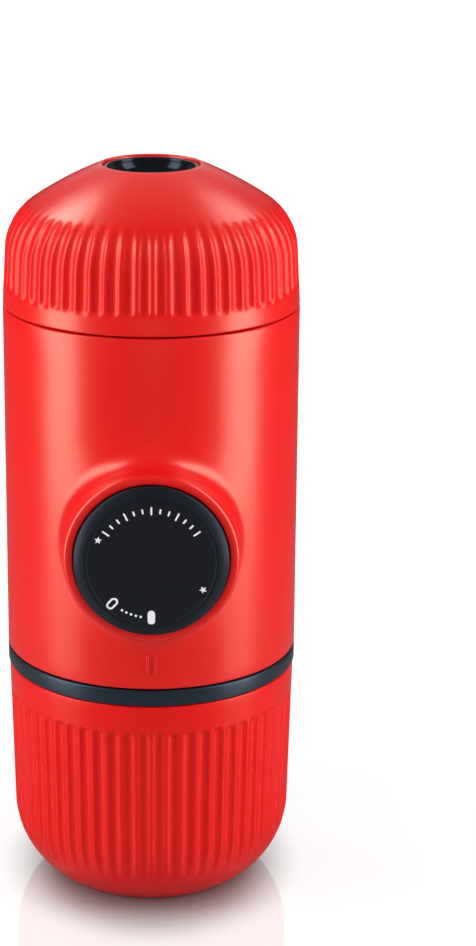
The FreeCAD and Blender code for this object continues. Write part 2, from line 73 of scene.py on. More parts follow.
BODY_R, BODY_LOW, BODY_HIGH = upright("body_shell")
HEAD_LOW = upright("head_shell")[1]
CUP_HIGH = upright("cup")[2]
COLLAR_LOW, COLLAR_HIGH = upright("collar_ring")[1:]
BOWL_LOW, BOWL_HIGH = upright("spout_bowl")[1:]
NECK_TOP = upright("water_tank")[2]
CHAMBER_TOP = upright("brew_chamber")[2]
KNOB_R, KNOB_BACK, _ = crosswise("knob")
FACE_R, FACE_BACK, KNOB_FRONT = crosswise("knob_face")
PUMP_Z = sum(corner.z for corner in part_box("knob_face")) / 2
PUMP = Matrix.Translation((0, 0, PUMP_Z)) @ Matrix.Rotation(radians(90), 4, "X")


def length_of(name, mm, description):
    return FloatProperty(
        name=name, description=description, default=mm * MM, min=0.0, max=0.2, unit="LENGTH", precision=5
    )


def turn_of(name, degrees, description):
    return FloatProperty(name=name, description=description, default=radians(degrees), subtype="ANGLE")


def power_of(name, watts, description):
    return FloatProperty(name=name, description=description, default=watts, unit="POWER")


def colour_of(name, colour, description):
    return FloatVectorProperty(
        name=name, description=description, default=colour, min=0.0, max=1.0, size=3, subtype="COLOR"
    )


class FluteSizes(bpy.types.PropertyGroup):
    count: IntProperty(name="Flutes", description="Flutes round the head and the cup", default=60, min=12)
    radius: length_of("Flute radius", 1.62, "Radius of the round cutter")
    depth: length_of("Flute depth", 0.6, "How far the flutes sink into the wall")
    crest: length_of("Crest rounding", 0.13, "Softness of the edges between the flutes")


class HeadSizes(bpy.types.PropertyGroup):
    rim_r: length_of("Rim radius", 31.0, "Outside radius of the head at its rim")
    lean: turn_of("Lean", 3.1, "Lean of the head's side")
    side: length_of("Side", 11.6, "Length of the straight side")
    shoulder_r: length_of("Shoulder radius", 12.5, "Bend between the side and the crown")
    shoulder_turn: turn_of("Shoulder turn", 52.9, "Angle of that bend")
    crown_r: length_of("Crown radius", 81.0, "Radius of the dome")
    wall: length_of("Wall", 2.0, "Wall thickness")
    turn: turn_of("Turn", 0.5, "How far the ribs are turned from the front")
    hole_r: length_of("Spout hole radius", 9.9, "Radius of the spout hole")
    lip_r: length_of("Lip radius", 0.6, "Rounding of the spout hole's edge")
    flute_start: length_of("Flute start", 4.8, "Where the flutes begin above the rim")
    flute_bend_r: length_of("Flute bend", 14.0, "Radius on which the flutes leave the shoulder")
    flute_turn: turn_of("Flute turn", 36.0, "Angle of that bend")


class CupSizes(bpy.types.PropertyGroup):
    rim_r: length_of("Rim radius", 30.75, "Outside radius of the cup at its rim")
    lean: turn_of("Lean", 1.31, "Lean of the cup's side")
    side: length_of("Side", 32.722, "Length of the straight side")
    bend_r: length_of("Foot radius", 19.07, "Bend between the side and the base")
    foot_r: length_of("Base radius", 20.6, "Radius of the flat base")
    wall: length_of("Wall", 1.8, "Wall thickness")
    flute_start: length_of("Flute start", 6.9, "Where the flutes begin below the rim")
    flute_bend_r: length_of("Flute bend", 27.8, "Radius on which the flutes leave the foot")
    flute_turn: turn_of("Flute turn", 17.0, "Angle of that bend")


class BodySizes(bpy.types.PropertyGroup):
    wall: length_of("Wall", 2.0, "Wall thickness")
    edge: length_of("Edge rounding", 0.35, "Rounding of the body's two ends")
    boss_r: length_of("Boss radius", 17.8, "Outside radius of the boss round the knob")
    boss_bore_r: length_of("Boss bore", 15.85, "Radius of the opening for the knob")
    boss_front: length_of("Boss reach", 37.6, "Distance of the boss's rim from the long axis")
    boss_fillet: length_of("Boss fillet", 4.2, "Blend between boss and body")
    boss_rim: length_of("Boss rim rounding", 1.0, "Rounding of the boss's outer rim")
    mark_width: length_of("Mark width", 0.62, "Width of each of the two raised bars")
    mark_length: length_of("Mark length", 4.0, "Length of the raised bars")
    mark_spacing: length_of("Mark spacing", 1.6, "Distance between the two bars")
    mark_z: length_of("Mark height", 58.5, "Height of the bars' middle")
    mark_proud: length_of("Mark relief", 0.35, "How far the bars stand proud")


class KnobSizes(bpy.types.PropertyGroup):
    skirt_r: length_of("Skirt radius", 15.2, "Outside radius of the hidden skirt")
    skirt_wall: length_of("Skirt wall", 1.3, "Wall of the skirt")
    front_length: length_of("Front length", 8.0, "Length of the wider front")
    chamfer: length_of("Chamfer", 1.4, "Drop of the sloped edge")
    dish: length_of("Dish", 0.25, "How far the middle of the front is sunk")
    mark_r: length_of("Marking radius", 11.45, "Radius of the ring of markings")
    bar_width: length_of("Bar width", 1.5, "Width of the locked mark")
    bar_length: length_of("Bar length", 3.0, "Length of the locked mark")
    dot: length_of("Dot", 0.52, "Diameter of the dots")
    line: length_of("Line width", 0.40, "Width of the drawn lines")
    tick_r: length_of("Scale radius", 11.1, "Radius of the middle of the scale's ticks")
    tick_length: length_of("Tick length", 1.1, "Length of the short ticks")


class Finishes(bpy.types.PropertyGroup):
    red: colour_of("Red", (0.78, 0.007, 0.009), "Body, head and cup")
    black: colour_of("Black", (0.011, 0.013, 0.018), "Knob and its front")
    slate: colour_of("Slate", (0.012, 0.017, 0.026), "Collar ring")
    inner_black: colour_of("Inner black", (0.020, 0.021, 0.023), "Mouldings inside")
    steel: colour_of("Steel", (0.62, 0.61, 0.59), "Stainless steel")
    seal: colour_of("Seal", (0.018, 0.018, 0.019), "Black silicone")
    clear_seal: colour_of("Clear seal", (0.70, 0.70, 0.66), "Milky silicone")
    print_white: colour_of("Print", (0.93, 0.94, 0.97), "White markings")


class StageSizes(bpy.types.PropertyGroup):
    side_light: power_of("Side light", 0.60, "Power of each side lamp")
    back_light: power_of("Back light", 0.42, "Power of the high back lamp")
    front_fill: power_of("Front fill", 0.95, "Power of the matt front lamp")
    world: FloatProperty(name="World", description="Strength of the surrounding light in front", default=0.44)
    floor: colour_of("Floor", (0.30, 0.30, 0.30), "Floor colour")


SETTINGS = {
    "maker_flutes": FluteSizes,
    "maker_head": HeadSizes,
    "maker_cup": CupSizes,
    "maker_body": BodySizes,
    "maker_knob": KnobSizes,
    "maker_finishes": Finishes,
    "maker_stage": StageSizes,
}


# ---- mesh helpers ----
def unique(items):
    return list(dict.fromkeys(items))


def verts_of(geom):
    return [g for g in geom if isinstance(g, bmesh.types.BMVert)]


def edges_at(verts):
    return unique(e for v in verts for e in v.link_edges)


def everything(bm):
    return bm.verts[:] + bm.edges[:] + bm.faces[:]


def face_out(bm):
    bmesh.ops.recalc_face_normals(bm, faces=bm.faces)


def turn_round(bm, verts, angle):
    """Turns vertices about the Z axis."""
    bmesh.ops.rotate(bm, verts=verts, cent=(0, 0, 0), matrix=Matrix.Rotation(angle, 3, "Z"))


def sweep_round(bm, geom, angle, steps, **more):
    """Sweeps or copies geometry about the Z axis, and returns the vertices where it ends."""
    made = bmesh.ops.spin(bm, geom=geom, cent=(0, 0, 0), axis=UP, angle=angle, steps=steps, **more)
    return verts_of(made["geom_last"])


def repeat_round(bm, geom, count):
    """Copies of part of the mesh, spread round the Z axis."""
    sweep_round(bm, geom, tau * (count - 1) / count, count - 1, use_duplicate=True)


def spin_whole(bm, steps):
    """Turns the drawn outline once round the Z axis."""
    sweep_round(bm, everything(bm), tau, steps, use_merge=True)
    bmesh.ops.remove_doubles(bm, verts=bm.verts, dist=0.5e-6)
    face_out(bm)


def round_edges(bm, edges, radius):
    bmesh.ops.bevel(
        bm, geom=edges, offset=radius, segments=3, profile=0.5, affect="EDGES", clamp_overlap=True, material=-1
    )


def draw_ring(bm, corners):
    """Closed outline of (r, z) corners, without an edge along the axis."""
    verts = [bm.verts.new((r, 0, z)) for r, z in corners]
    for a, b in zip(verts, verts[1:] + verts[:1]):
        if a.co.x > 0 or b.co.x > 0:
            bm.edges.new((a, b))
    return verts


def lathe(bm, corners, steps, rounding=0.0):
    """Solid of revolution of a closed outline, with its sharp rings rounded."""
    draw_ring(bm, corners)
    spin_whole(bm, steps)
    if rounding:
        sharp = radians(25)
        edges = [e for e in bm.edges if len(e.link_faces) == 2 and e.calc_face_angle() > sharp]
        round_edges(bm, edges, rounding)


def grow(bm, edges, place):
    """Grows a row of edges by one row, puts each new vertex where place says, and returns the new row."""
    made = bmesh.ops.extrude_edge_only(bm, edges=edges)["geom"]
    fresh = set(verts_of(made))
    for v in fresh:
        v.co = place(v)
    return [g for g in made if isinstance(g, bmesh.types.BMEdge) and fresh.issuperset(g.verts)]


def pulled(radius, z):
    """A rule that moves a vertex straight out or in to a radius, at a height."""

    def place(v):
        flat = v.co.xy.normalized() * radius
        return flat.x, flat.y, z

    return place


class Outline:
    """A chain of edges in the XZ plane, drawn by a heading that turns left, inset to its left."""

    def __init__(self, bm, r, z, heading, inset=0.0):
        self.bm = bm
        self.inset = inset
        self.heading = heading
        self.tip = bm.verts.new(Vector((r, 0, z)) + self.left() * inset)
        self.start = self.tip

    def left(self):
        return Vector((-sin(self.heading), 0, cos(self.heading)))

    def step_by(self, step, steps):
        for _ in range(steps):
            self.tip = bmesh.ops.extrude_vert_indiv(self.bm, verts=[self.tip])["verts"][0]
            self.tip.co += step

    def line(self, length, steps=1):
        ahead = Vector((cos(self.heading), 0, sin(self.heading)))
        self.step_by(ahead * (length / steps), steps)

    def line_to(self, r, z, steps=1):
        self.step_by((Vector((r, 0, z)) - self.tip.co) / steps, steps)

    def arc(self, radius, turn, steps):
        centre = self.tip.co + self.left() * (radius - self.inset)
        made = bmesh.ops.spin(self.bm, geom=[self.tip], cent=centre, axis=(0, -1, 0), angle=turn, steps=steps)
        self.tip = made["geom_last"][0]
        self.heading += turn

    def arc_until(self, radius, steps, goal, rounding=0.0):
        """An arc up to where a rounding inside it has its middle at the goal's distance from the axis."""
        reach = radius - self.inset
        centre_x = self.tip.co.x + self.left().x * reach
        last = pi - asin((goal - centre_x) / (reach - rounding))
        self.arc(radius, last - self.heading, steps)


def finish_piece(bm, name, body, finish, place=None, crease=35.0):
    """Writes the mesh into an object that rides on its body and takes its finish."""
    if place is not None:
        bmesh.ops.transform(bm, matrix=place, verts=bm.verts)
    for face in bm.faces:
        face.smooth = True
    for edge in bm.edges:
        edge.smooth = len(edge.link_faces) != 2 or edge.calc_face_angle() < radians(crease)
    mesh = bpy.data.meshes.new(name)
    bm.to_mesh(mesh)
    bm.free()
    mesh.materials.append(finish_of(finish))
    piece = bpy.data.objects.new(name, mesh)
    bpy.context.scene.collection.objects.link(piece)
    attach(piece, body)
    return piece


# ---- flutes ----
# Columns of half a flute, from its middle to its crest, as shares of the pitch.
FLUTE_STATIONS = (0.0, 0.13, 0.25, 0.335, 0.388, 0.44, 0.5)
FLUTE_END_SHARPNESS = 1.5


class FlutePath:
    """The line along which a round cutter follows a wall and then leaves it, in the XZ plane."""

    def __init__(self, sizes, flutes):
        self.radius = flutes.radius
        self.crest = flutes.crest
        offset = flutes.radius - flutes.depth
        heading = pi / 2 + sizes.lean
        self.ahead = Vector((cos(heading), sin(heading)))
        self.inward = Vector((-sin(heading), cos(heading)))
        rim = Vector((sizes.rim_r, 0)) - self.inward * offset
        self.begin = rim + self.ahead * sizes.flute_start
        self.rod = sizes.side - sizes.flute_start
        self.arc_r = sizes.flute_bend_r + offset
        self.centre = self.begin + self.ahead * self.rod + self.inward * self.arc_r
        self.turn = sizes.flute_turn
        last = heading + self.turn
        self.tail_in = Vector((-sin(last), cos(last)))
        self.tail = self.centre - self.tail_in * self.arc_r

    def reach(self, r, z):
        """(distance past the round end, distance from the path) of a place on the wall."""
        spot = Vector((r, z))
        along = (spot - self.begin).dot(self.ahead)
        if along <= self.rod:
            return min(along, 0.0), (spot - self.begin).dot(self.inward)
        out = self.centre - spot
        turned = atan2(self.inward.x * out.y - self.inward.y * out.x, self.inward.dot(out))
        if turned <= self.turn:
            return 0.0, self.arc_r - out.length
        return 0.0, (spot - self.tail).dot(self.tail_in)

    def depth(self, r, z, off):
        """How deep the cutter goes at an angle off the flute's middle, rounded at the crest."""
        past, gap = self.reach(r * cos(off), z)
        across = r * sin(off)
        free = self.radius**2 - across**2 - (FLUTE_END_SHARPNESS * past) ** 2
        value = (free - gap**2) / (sqrt(max(free, 0.0)) + gap)
        return (value + sqrt(value**2 + self.crest**2)) / 2


def spin_flutes(bm, wall_mark, sizes, flutes):
    """Sweeps the outline over one flute, sinks it into the marked wall, and repeats it all round."""
    path = FlutePath(sizes, flutes)
    pitch = tau / flutes.count
    columns = 2 * (len(FLUTE_STATIONS) - 1)
    turn_round(bm, bm.verts, -pitch / 2)
    sweep_round(bm, everything(bm), pitch, columns)
    face_out(bm)
    bm.normal_update()
    for v in bm.verts:
        r = v.co.xy.length
        if r < NEAR:
            continue
        share = atan2(v.co.y, v.co.x) / pitch
        station = FLUTE_STATIONS[min(round(abs(share) * columns), columns // 2)]
        off = copysign(station, share) * pitch
        sunk = path.depth(r, v.co.z, off) if v[wall_mark] else 0.0
        r -= v.normal.xy.length * sunk
        v.co = (r * cos(off), r * sin(off), v.co.z - v.normal.z * sunk)
    repeat_round(bm, everything(bm), flutes.count)
    turn_round(bm, bm.verts, pitch / 2 - pi / 2)
    bmesh.ops.remove_doubles(bm, verts=bm.verts, dist=2e-6)
    face_out(bm)


def begin_shell(sizes, edge):
    """A mesh with the outer line of a fluted shell after its rounded rim, and the rounding's height."""
    bm = bmesh.new()
    wall_mark = bm.verts.layers.int.new("wall")
    height = edge * (1 + sin(sizes.lean))
    start_r = sizes.rim_r - height * tan(sizes.lean) - edge * cos(sizes.lean)
    outer = Outline(bm, start_r, 0, 0)
    outer.arc(edge, pi / 2 + sizes.lean, 4)
    return bm, wall_mark, outer, height


def mark_wall(bm, wall_mark, edge):
    """Marks what has been drawn above the rim's rounding as the wall that takes the flutes."""
    for v in bm.verts:
        v[wall_mark] = v.co.z > edge


class ESPRESSO_OT_head_shell(bpy.types.Operator):
    """Ribbed red dome of the head, open at the spout"""

    bl_idname = "espresso.head_shell"
    bl_label = "Head shell"

    def execute(self, context):
        sizes = context.scene.maker_head
        edge = 0.35 * MM
        bm, wall_mark, outer, rim = begin_shell(sizes, edge)
        outer.line(sizes.side - rim / cos(sizes.lean), 22)
        outer.arc(sizes.shoulder_r, sizes.shoulder_turn, 26)
        outer.arc_until(sizes.crown_r, 20, sizes.hole_r + sizes.lip_r, sizes.lip_r)
        mark_wall(bm, wall_mark, edge)
        outer.arc(sizes.lip_r, 1.5 * pi - outer.heading, 7)
        inner = Outline(bm, sizes.rim_r, 0, pi / 2 + sizes.lean, sizes.wall)
        inner.line(sizes.side, 2)
        inner.arc(sizes.shoulder_r, sizes.shoulder_turn, 5)
        inner.arc_until(sizes.crown_r, 4, sizes.hole_r)
        bm.edges.new((outer.tip, inner.tip))
        bm.edges.new((outer.start, inner.start))
        spin_flutes(bm, wall_mark, sizes, context.scene.maker_flutes)
        place = Matrix.Translation((0, 0, HEAD_LOW)) @ Matrix.Rotation(sizes.turn, 4, "Z")
        piece = finish_piece(bm, "head_dome", "head", HEAD_RED, place)
        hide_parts("head_shell")
        return {"FINISHED"}


class ESPRESSO_OT_cup(bpy.types.Operator):
    """Ribbed red drinking cup that the maker stands on"""

    bl_idname = "espresso.cup"
    bl_label = "Drinking cup"

    def execute(self, context):
        sizes = context.scene.maker_cup
        edge, foot = 0.3 * MM, 0.8 * MM
        band_low, band = 4.4 * MM, 5.0 * MM
        bm, wall_mark, outer, rim = begin_shell(sizes, edge)
        outer.line(band_low - rim, 2)
        outer.line(band, 12)
        outer.line(sizes.side - band_low - band, 12)
        outer.arc_until(sizes.bend_r, 34, sizes.foot_r - 0.35 * MM, foot)
        mark_wall(bm, wall_mark, edge)
        outer.arc(foot, pi - outer.heading, 3)
        outer.line_to(0, CUP_HIGH, 3)
        inner = Outline(bm, sizes.rim_r, 0, pi / 2 + sizes.lean, sizes.wall)
        inner.line(sizes.side, 3)
        inner.arc_until(sizes.bend_r, 9, sizes.foot_r - 1.6 * MM)
        inner.line_to(0, inner.tip.co.z, 2)
        bm.edges.new((outer.start, inner.start))
        spin_flutes(bm, wall_mark, sizes, context.scene.maker_flutes)
        mouth_up = Matrix.Translation((0, 0, CUP_HIGH)) @ Matrix.Rotation(pi, 4, "X")
        piece = finish_piece(bm, "fluted_cup", "drinking_cup", "Cup red", mouth_up)
        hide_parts("cup")
        return {"FINISHED"}


# ---- body ----
RING_STEPS = 96
PATCH_ROWS = 5
PATCH_ANGLE = radians(54)


def patch_edge(angle, low, high):
    """Where a ray from the boss meets the patch round it, as (angle round the body, height)."""
    side = (angle / tau * 4 + 0.5) % 4
    along = 2 * (side % 1) - 1
    middle, half = (low + high) / 2, (high - low) / 2
    if side < 1:
        return PATCH_ANGLE, middle + half * along
    if side < 2:
        return -PATCH_ANGLE * along, high
    if side < 3:
        return -PATCH_ANGLE, middle - half * along
    return PATCH_ANGLE * along, low


def on_tube(circle_r, tube_r, angle):
    """Where a circle round the pump's axis, carried straight back, meets an upright tube's front."""
    x = circle_r * cos(angle)
    return Vector((x, -sqrt(tube_r**2 - x**2), PUMP_Z + circle_r * sin(angle)))


def grow_tube(bm, loop, at, radius, hole, low, high):
    """Carries a hole's edge out over the tube's front and then round its back."""
    for row in range(1, PATCH_ROWS + 1):
        share = row / PATCH_ROWS

        def place(angle):
            start = hole(angle)
            begin = (atan2(start.x, -start.y), start.z)
            around, height = (b + (e - b) * share for b, e in zip(begin, patch_edge(angle, low, high)))
            return Vector((radius * sin(around), -radius * cos(around), height))

        loop = grow(bm, loop, at(place))
    right = [e for e in loop if all(abs(atan2(v.co.x, -v.co.y) - PATCH_ANGLE) < 1e-4 for v in e.verts)]
    sweep_round(bm, right + unique(v for e in right for v in e.verts), tau - 2 * PATCH_ANGLE, 72)


def open_end(bm, radius, z):
    """The open edge of a tube at this radius and height."""
    return [
        e
        for e in bm.edges
        if len(e.link_faces) == 1
        and all(abs(v.co.z - z) < NEAR and abs(v.co.xy.length - radius) < NEAR for v in e.verts)
    ]


class ESPRESSO_OT_body_shell(bpy.types.Operator):
    """Smooth red body with the round boss for the knob"""

    bl_idname = "espresso.body_shell"
    bl_label = "Body shell"

    def execute(self, context):
        sizes = context.scene.maker_body
        bm = bmesh.new()
        key = bm.verts.layers.int.new("station")
        ring = bmesh.ops.create_circle(bm, cap_ends=False, radius=1.0, segments=RING_STEPS)["verts"]
        for v in ring:
            v[key] = round(atan2(v.co.y, v.co.x) / tau * RING_STEPS) % RING_STEPS

        def at(place):
            """A rule for a vertex from a rule for an angle round the boss."""
            return lambda v: place(v[key] * tau / RING_STEPS)

        def on_boss(radius, out):
            return lambda a: Vector((radius * cos(a), -out, PUMP_Z + radius * sin(a)))

        def on_blend(share):
            def place(a):
                centre = on_tube(sizes.boss_r + sizes.boss_fillet, BODY_R + sizes.boss_fillet, a)
                to_boss = Vector((-cos(a), 0, -sin(a)))
                to_body = Vector((-centre.x, -centre.y, 0)).normalized()
                return centre + to_boss.slerp(to_body, share) * sizes.boss_fillet

            return place

        lip = at(on_boss(sizes.boss_r - sizes.boss_rim, sizes.boss_front))
        for v in ring:
            v.co = lip(v)
        start = loop = list(bm.edges)
        rim_steps, blend_steps = 5, 8
        for step in range(1, rim_steps + 1):
            turn = pi / 2 * step / rim_steps
            radius = sizes.boss_r - sizes.boss_rim * (1 - sin(turn))
            out = sizes.boss_front - sizes.boss_rim * (1 - cos(turn))
            loop = grow(bm, loop, at(on_boss(radius, out)))
        for step in range(blend_steps + 1):
            loop = grow(bm, loop, at(on_blend(step / blend_steps)))
        edge = sizes.edge
        low, high = BODY_LOW + edge, BODY_HIGH - edge
        grow_tube(bm, loop, at, BODY_R, on_blend(1.0), low, high)

        bore = sizes.boss_bore_r
        inside = BODY_R - sizes.wall
        chamfer, shy = 0.25 * MM, 0.07 * MM
        loop = start
        for wider, lower in ((chamfer, 0.0), (shy, shy), (0.0, chamfer)):
            loop = grow(bm, loop, at(on_boss(bore + wider, sizes.boss_front - lower)))

        def bore_end(a):
            return on_tube(bore, inside, a)

        loop = grow(bm, loop, at(bore_end))
        grow_tube(bm, loop, at, inside, bore_end, low, high)
        bmesh.ops.remove_doubles(bm, verts=bm.verts, dist=1e-6)
        for z, way in ((low, -edge), (high, edge)):
            loop = open_end(bm, BODY_R, z)
            for turn in (radians(30), radians(60), radians(90)):
                loop = grow(bm, loop, pulled(BODY_R - edge * (1 - cos(turn)), z + way * sin(turn)))
            loop = grow(bm, loop, pulled(inside + edge / 2, z + way))
            bmesh.ops.bridge_loops(bm, edges=loop + open_end(bm, inside, z))
        face_out(bm)
        for side in (-1, 1):
            self.add_mark(bm, sizes, side)
        piece = finish_piece(bm, "body_tube", "main_body", "Red plastic")
        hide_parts("body_shell")
        return {"FINISHED"}

    def add_mark(self, bm, sizes, side):
        """Adds one raised bar, rounded all over."""
        depth = 1.2 * MM
        middle = (side * sizes.mark_spacing / 2, -BODY_R - sizes.mark_proud + depth / 2, sizes.mark_z)
        shape = Matrix.Diagonal((sizes.mark_width, depth, sizes.mark_length, 1))
        place = Matrix.Translation(middle) @ shape
        bar = bmesh.ops.create_cube(bm, size=1.0, matrix=place)["verts"]
        round_edges(bm, edges_at(bar), 0.2 * MM)


class ESPRESSO_OT_collar(bpy.types.Operator):
    """Slate ring between the body and the cup"""

    bl_idname = "espresso.collar"
    bl_label = "Collar ring"

    def execute(self, context):
        bm = bmesh.new()
        step_in = 2.45 * MM
        inner = BODY_R - (context.scene.maker_body.wall + step_in)
        corners = ((inner, COLLAR_LOW), (BODY_R, COLLAR_LOW), (BODY_R, COLLAR_HIGH), (inner, COLLAR_HIGH))
        lathe(bm, corners, 180, 0.3 * MM)
        piece = finish_piece(bm, "collar_band", "tank_collar", "Slate plastic")
        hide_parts("collar_ring")
        return {"FINISHED"}


# ---- knob and markings ----
class ESPRESSO_OT_knob(bpy.types.Operator):
    """Pump knob: sloped front edge, hidden skirt with its two lock lugs, dished front"""

    bl_idname = "espresso.knob"
    bl_label = "Pump knob"

    def execute(self, context):
        sizes = context.scene.maker_knob
        step = KNOB_FRONT - sizes.front_length
        inside = sizes.skirt_r - sizes.skirt_wall
        screw_head_r, rod_r = 4.8 * MM, 3.1 * MM
        web_back = FACE_BACK - 3.2 * MM
        seat = web_back + 2.0 * MM
        recess = FACE_R + 0.02 * MM
        corners = (
            (inside, KNOB_BACK), (sizes.skirt_r, KNOB_BACK), (sizes.skirt_r, step),
            (KNOB_R, step + KNOB_R - sizes.skirt_r), (KNOB_R, KNOB_FRONT - sizes.chamfer),
            (recess, KNOB_FRONT), (recess, FACE_BACK), (screw_head_r, FACE_BACK), (screw_head_r, seat),
            (rod_r, seat), (rod_r, web_back), (inside, web_back),
        )
        bm = bmesh.new()
        lathe(bm, corners, 160, 0.22 * MM)
        lug_turn = radians(18)
        self.add_lugs(bm, sizes.skirt_r - 0.5 * MM, KNOB_R + 0.1 * MM, 4 * MM, lug_turn)
        align = PUMP @ Matrix.Rotation(pi / 2 - lug_turn / 2, 4, "Z")
        piece = finish_piece(bm, "push_knob", "knob_body", "Knob black", align, 30)
        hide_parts("knob")

        floor = KNOB_FRONT - sizes.dish
        rim = ((0.0, 0.06, KNOB_FRONT), (0.12, 0.0, KNOB_FRONT), (0.30, 0.04, KNOB_FRONT))
        dish = ((0.42, -0.06, floor), (0.55, 0.0, floor))
        edge = [(FACE_R - inward * MM, level - drop * MM) for inward, drop, level in rim + dish]
        bm = bmesh.new()
        lathe(bm, [(0, FACE_BACK), (FACE_R, FACE_BACK), *edge, (0, floor)], 160)
        piece = finish_piece(bm, "knob_front", "knob_body", "Knob front black", PUMP, 50)
        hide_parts("knob_face")
        return {"FINISHED"}

    def add_lugs(self, bm, root, crest, length, turn):
        """Adds the two lock lugs at the skirt's back, opposite each other."""
        skirt = set(bm.verts)
        turn_round(bm, bm.verts, -pi / 2 + turn / 2)
        low, high = KNOB_BACK, KNOB_BACK + length
        verts = draw_ring(bm, ((root, low), (crest, low), (crest, high), (root, high)))
        face = bmesh.ops.contextual_create(bm, geom=verts)["faces"]
        sweep_round(bm, face + verts + list(face[0].edges), turn, 8)
        lugs = [v for v in bm.verts if v not in skirt]
        repeat_round(bm, lugs + edges_at(lugs) + unique(f for v in lugs for f in v.link_faces), 2)
        face_out(bm)


def closed_line(bm, points, width):
    """A drawn line of even width round a closed row of points in the plane, as flat faces."""
    pairs = []
    for before, point, after in zip(points[-1:] + points[:-1], points, points[1:] + points[:1]):
        side = (after - before).normalized()
        side = Vector((-side.y, side.x)) * width / 2
        pairs.append([bm.verts.new((*(point + side * way), 0)) for way in (-1, 1)])
    for (a, b), (c, d) in zip(pairs, pairs[1:] + pairs[:1]):
        bm.faces.new((a, c, d, b))
    return [v for pair in pairs for v in pair]


def capsule(width, length, steps=8):
    """Outline of an upright bar with round ends."""
    half = length / 2 - width / 2
    points = []
    for end, first in ((half, 0.0), (-half, pi)):
        for i in range(steps + 1):
            turn = first + pi * i / steps
            points.append(Vector((width / 2 * cos(turn), end + width / 2 * sin(turn))))
    return points


class ESPRESSO_OT_markings(bpy.types.Operator):
    """White print on the knob: a bar for locked, a ring for unlocked, five dots, two stars and a scale"""

    bl_idname = "espresso.markings"
    bl_label = "Knob markings"

    def execute(self, context):
        sizes = context.scene.maker_knob
        nudge = 0.05 * MM
        bar_at, unlocked_at, stars_at = 270, 227, (154.9, 332.1)
        dots, first_dot, dot_step = 5, 239.1, 5.05
        ticks, first_tick, scale_turn = 13, 35, 110
        bm = bmesh.new()

        def put(verts, radius, angle):
            turn = Matrix.Rotation(radians(angle - 90), 4, "Z")
            bmesh.ops.transform(bm, matrix=turn @ Matrix.Translation((0, radius, 0)), verts=verts)

        def put_strip(width, length, radius, angle):
            strip = [bm.verts.new((*p, 0)) for p in capsule(width, length)]
            bm.faces.new(strip)
            put(strip, radius, angle)

        def disc(radius, segments):
            return bmesh.ops.create_circle(bm, cap_ends=True, radius=radius, segments=segments)["verts"]

        put_strip(sizes.bar_width, sizes.bar_length, sizes.mark_r - nudge, bar_at)
        unlocked = closed_line(bm, capsule(1.30 * MM, 2.35 * MM, 10), sizes.line)
        put(unlocked, sizes.mark_r + nudge, unlocked_at)
        for i in range(dots):
            put(disc(sizes.dot / 2, 12), sizes.mark_r, first_dot + dot_step * i)
        for angle in stars_at:
            star = disc(0.80 * MM, 10)
            for v in star[1::2]:
                v.co *= 0.45
            put(star, sizes.mark_r + 5 * nudge, angle)
        for i in range(ticks):
            length = (1.0 if i % 3 else 1.6) * sizes.tick_length
            put_strip(0.36 * MM, length, sizes.tick_r, first_tick + scale_turn * i / (ticks - 1))
        face_out(bm)
        for face in bm.faces:
            if face.normal.z < 0:
                face.normal_flip()
        thick = 0.03 * MM
        bmesh.ops.translate(bm, verts=bm.verts, vec=(0, 0, KNOB_FRONT - sizes.dish - thick / 2))
        made = bmesh.ops.extrude_face_region(bm, geom=bm.faces[:])["geom"]
        bmesh.ops.translate(bm, verts=verts_of(made), vec=(0, 0, thick * 1.5))
        face_out(bm)
        finish_piece(bm, "knob_marks", "knob_body", "White print", PUMP)
        return {"FINISHED"}


# ---- spout ----
class ESPRESSO_OT_spout(bpy.types.Operator):
    """Glossy bowl in the spout hole, with the nozzle's ring"""

    bl_idname = "espresso.spout"
    bl_label = "Spout bowl"

    def execute(self, context):
        rim = context.scene.maker_head.hole_r - 0.1 * MM
        floor = BOWL_HIGH - 3.63 * MM
        top = floor + 1.3 * MM
        nozzle, wall, rounding, socket_r = 4.6 * MM, 0.8 * MM, 0.2 * MM, 5.8 * MM
        bm = bmesh.new()
        outline = Outline(bm, rim, floor + 1.0 * MM, pi / 2)
        outline.line_to(rim, BOWL_HIGH - rounding)
        outline.arc(rounding, pi / 2, 3)
        outline.line_to(rim - 0.55 * MM, BOWL_HIGH)
        outline.arc(rounding, radians(70), 3)
        start_r, start_z = outline.tip.co.x, outline.tip.co.z
        run = start_r - (nozzle + wall + 0.5 * MM)
        drop = start_z - floor
        funnel_steps = 12
        for i in range(1, funnel_steps + 1):
            share = pi / 2 * i / funnel_steps
            outline.line_to(start_r - run * (1 - cos(share)), start_z - drop * sin(share))
        outline.line_to(nozzle + wall, floor)
        outline.line_to(nozzle + wall, top - rounding)
        outline.heading = pi / 2
        outline.arc(rounding, pi / 2, 3)
        outline.line_to(nozzle + rounding, top)
        outline.arc(rounding, pi / 2, 3)
        for r, z in ((nozzle, BOWL_LOW), (socket_r, BOWL_LOW), (socket_r, BOWL_LOW + 0.8 * MM)):
            outline.line_to(r, z)
        bm.edges.new((outline.tip, outline.start))
        spin_whole(bm, 128)
        piece = finish_piece(bm, "spout_funnel", "head", "Spout black", crease=40)
        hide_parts("spout_bowl")
        return {"FINISHED"}


# ---- threads ----
THREAD_STARTS = 4
THREAD_LEAD = 23.8752 * MM
RIDGE_TURN = radians(76)
RIDGE_WIDTH = 1.5 * MM
NECK_R = 26.5 * MM
CHAMBER_R = 26.0 * MM


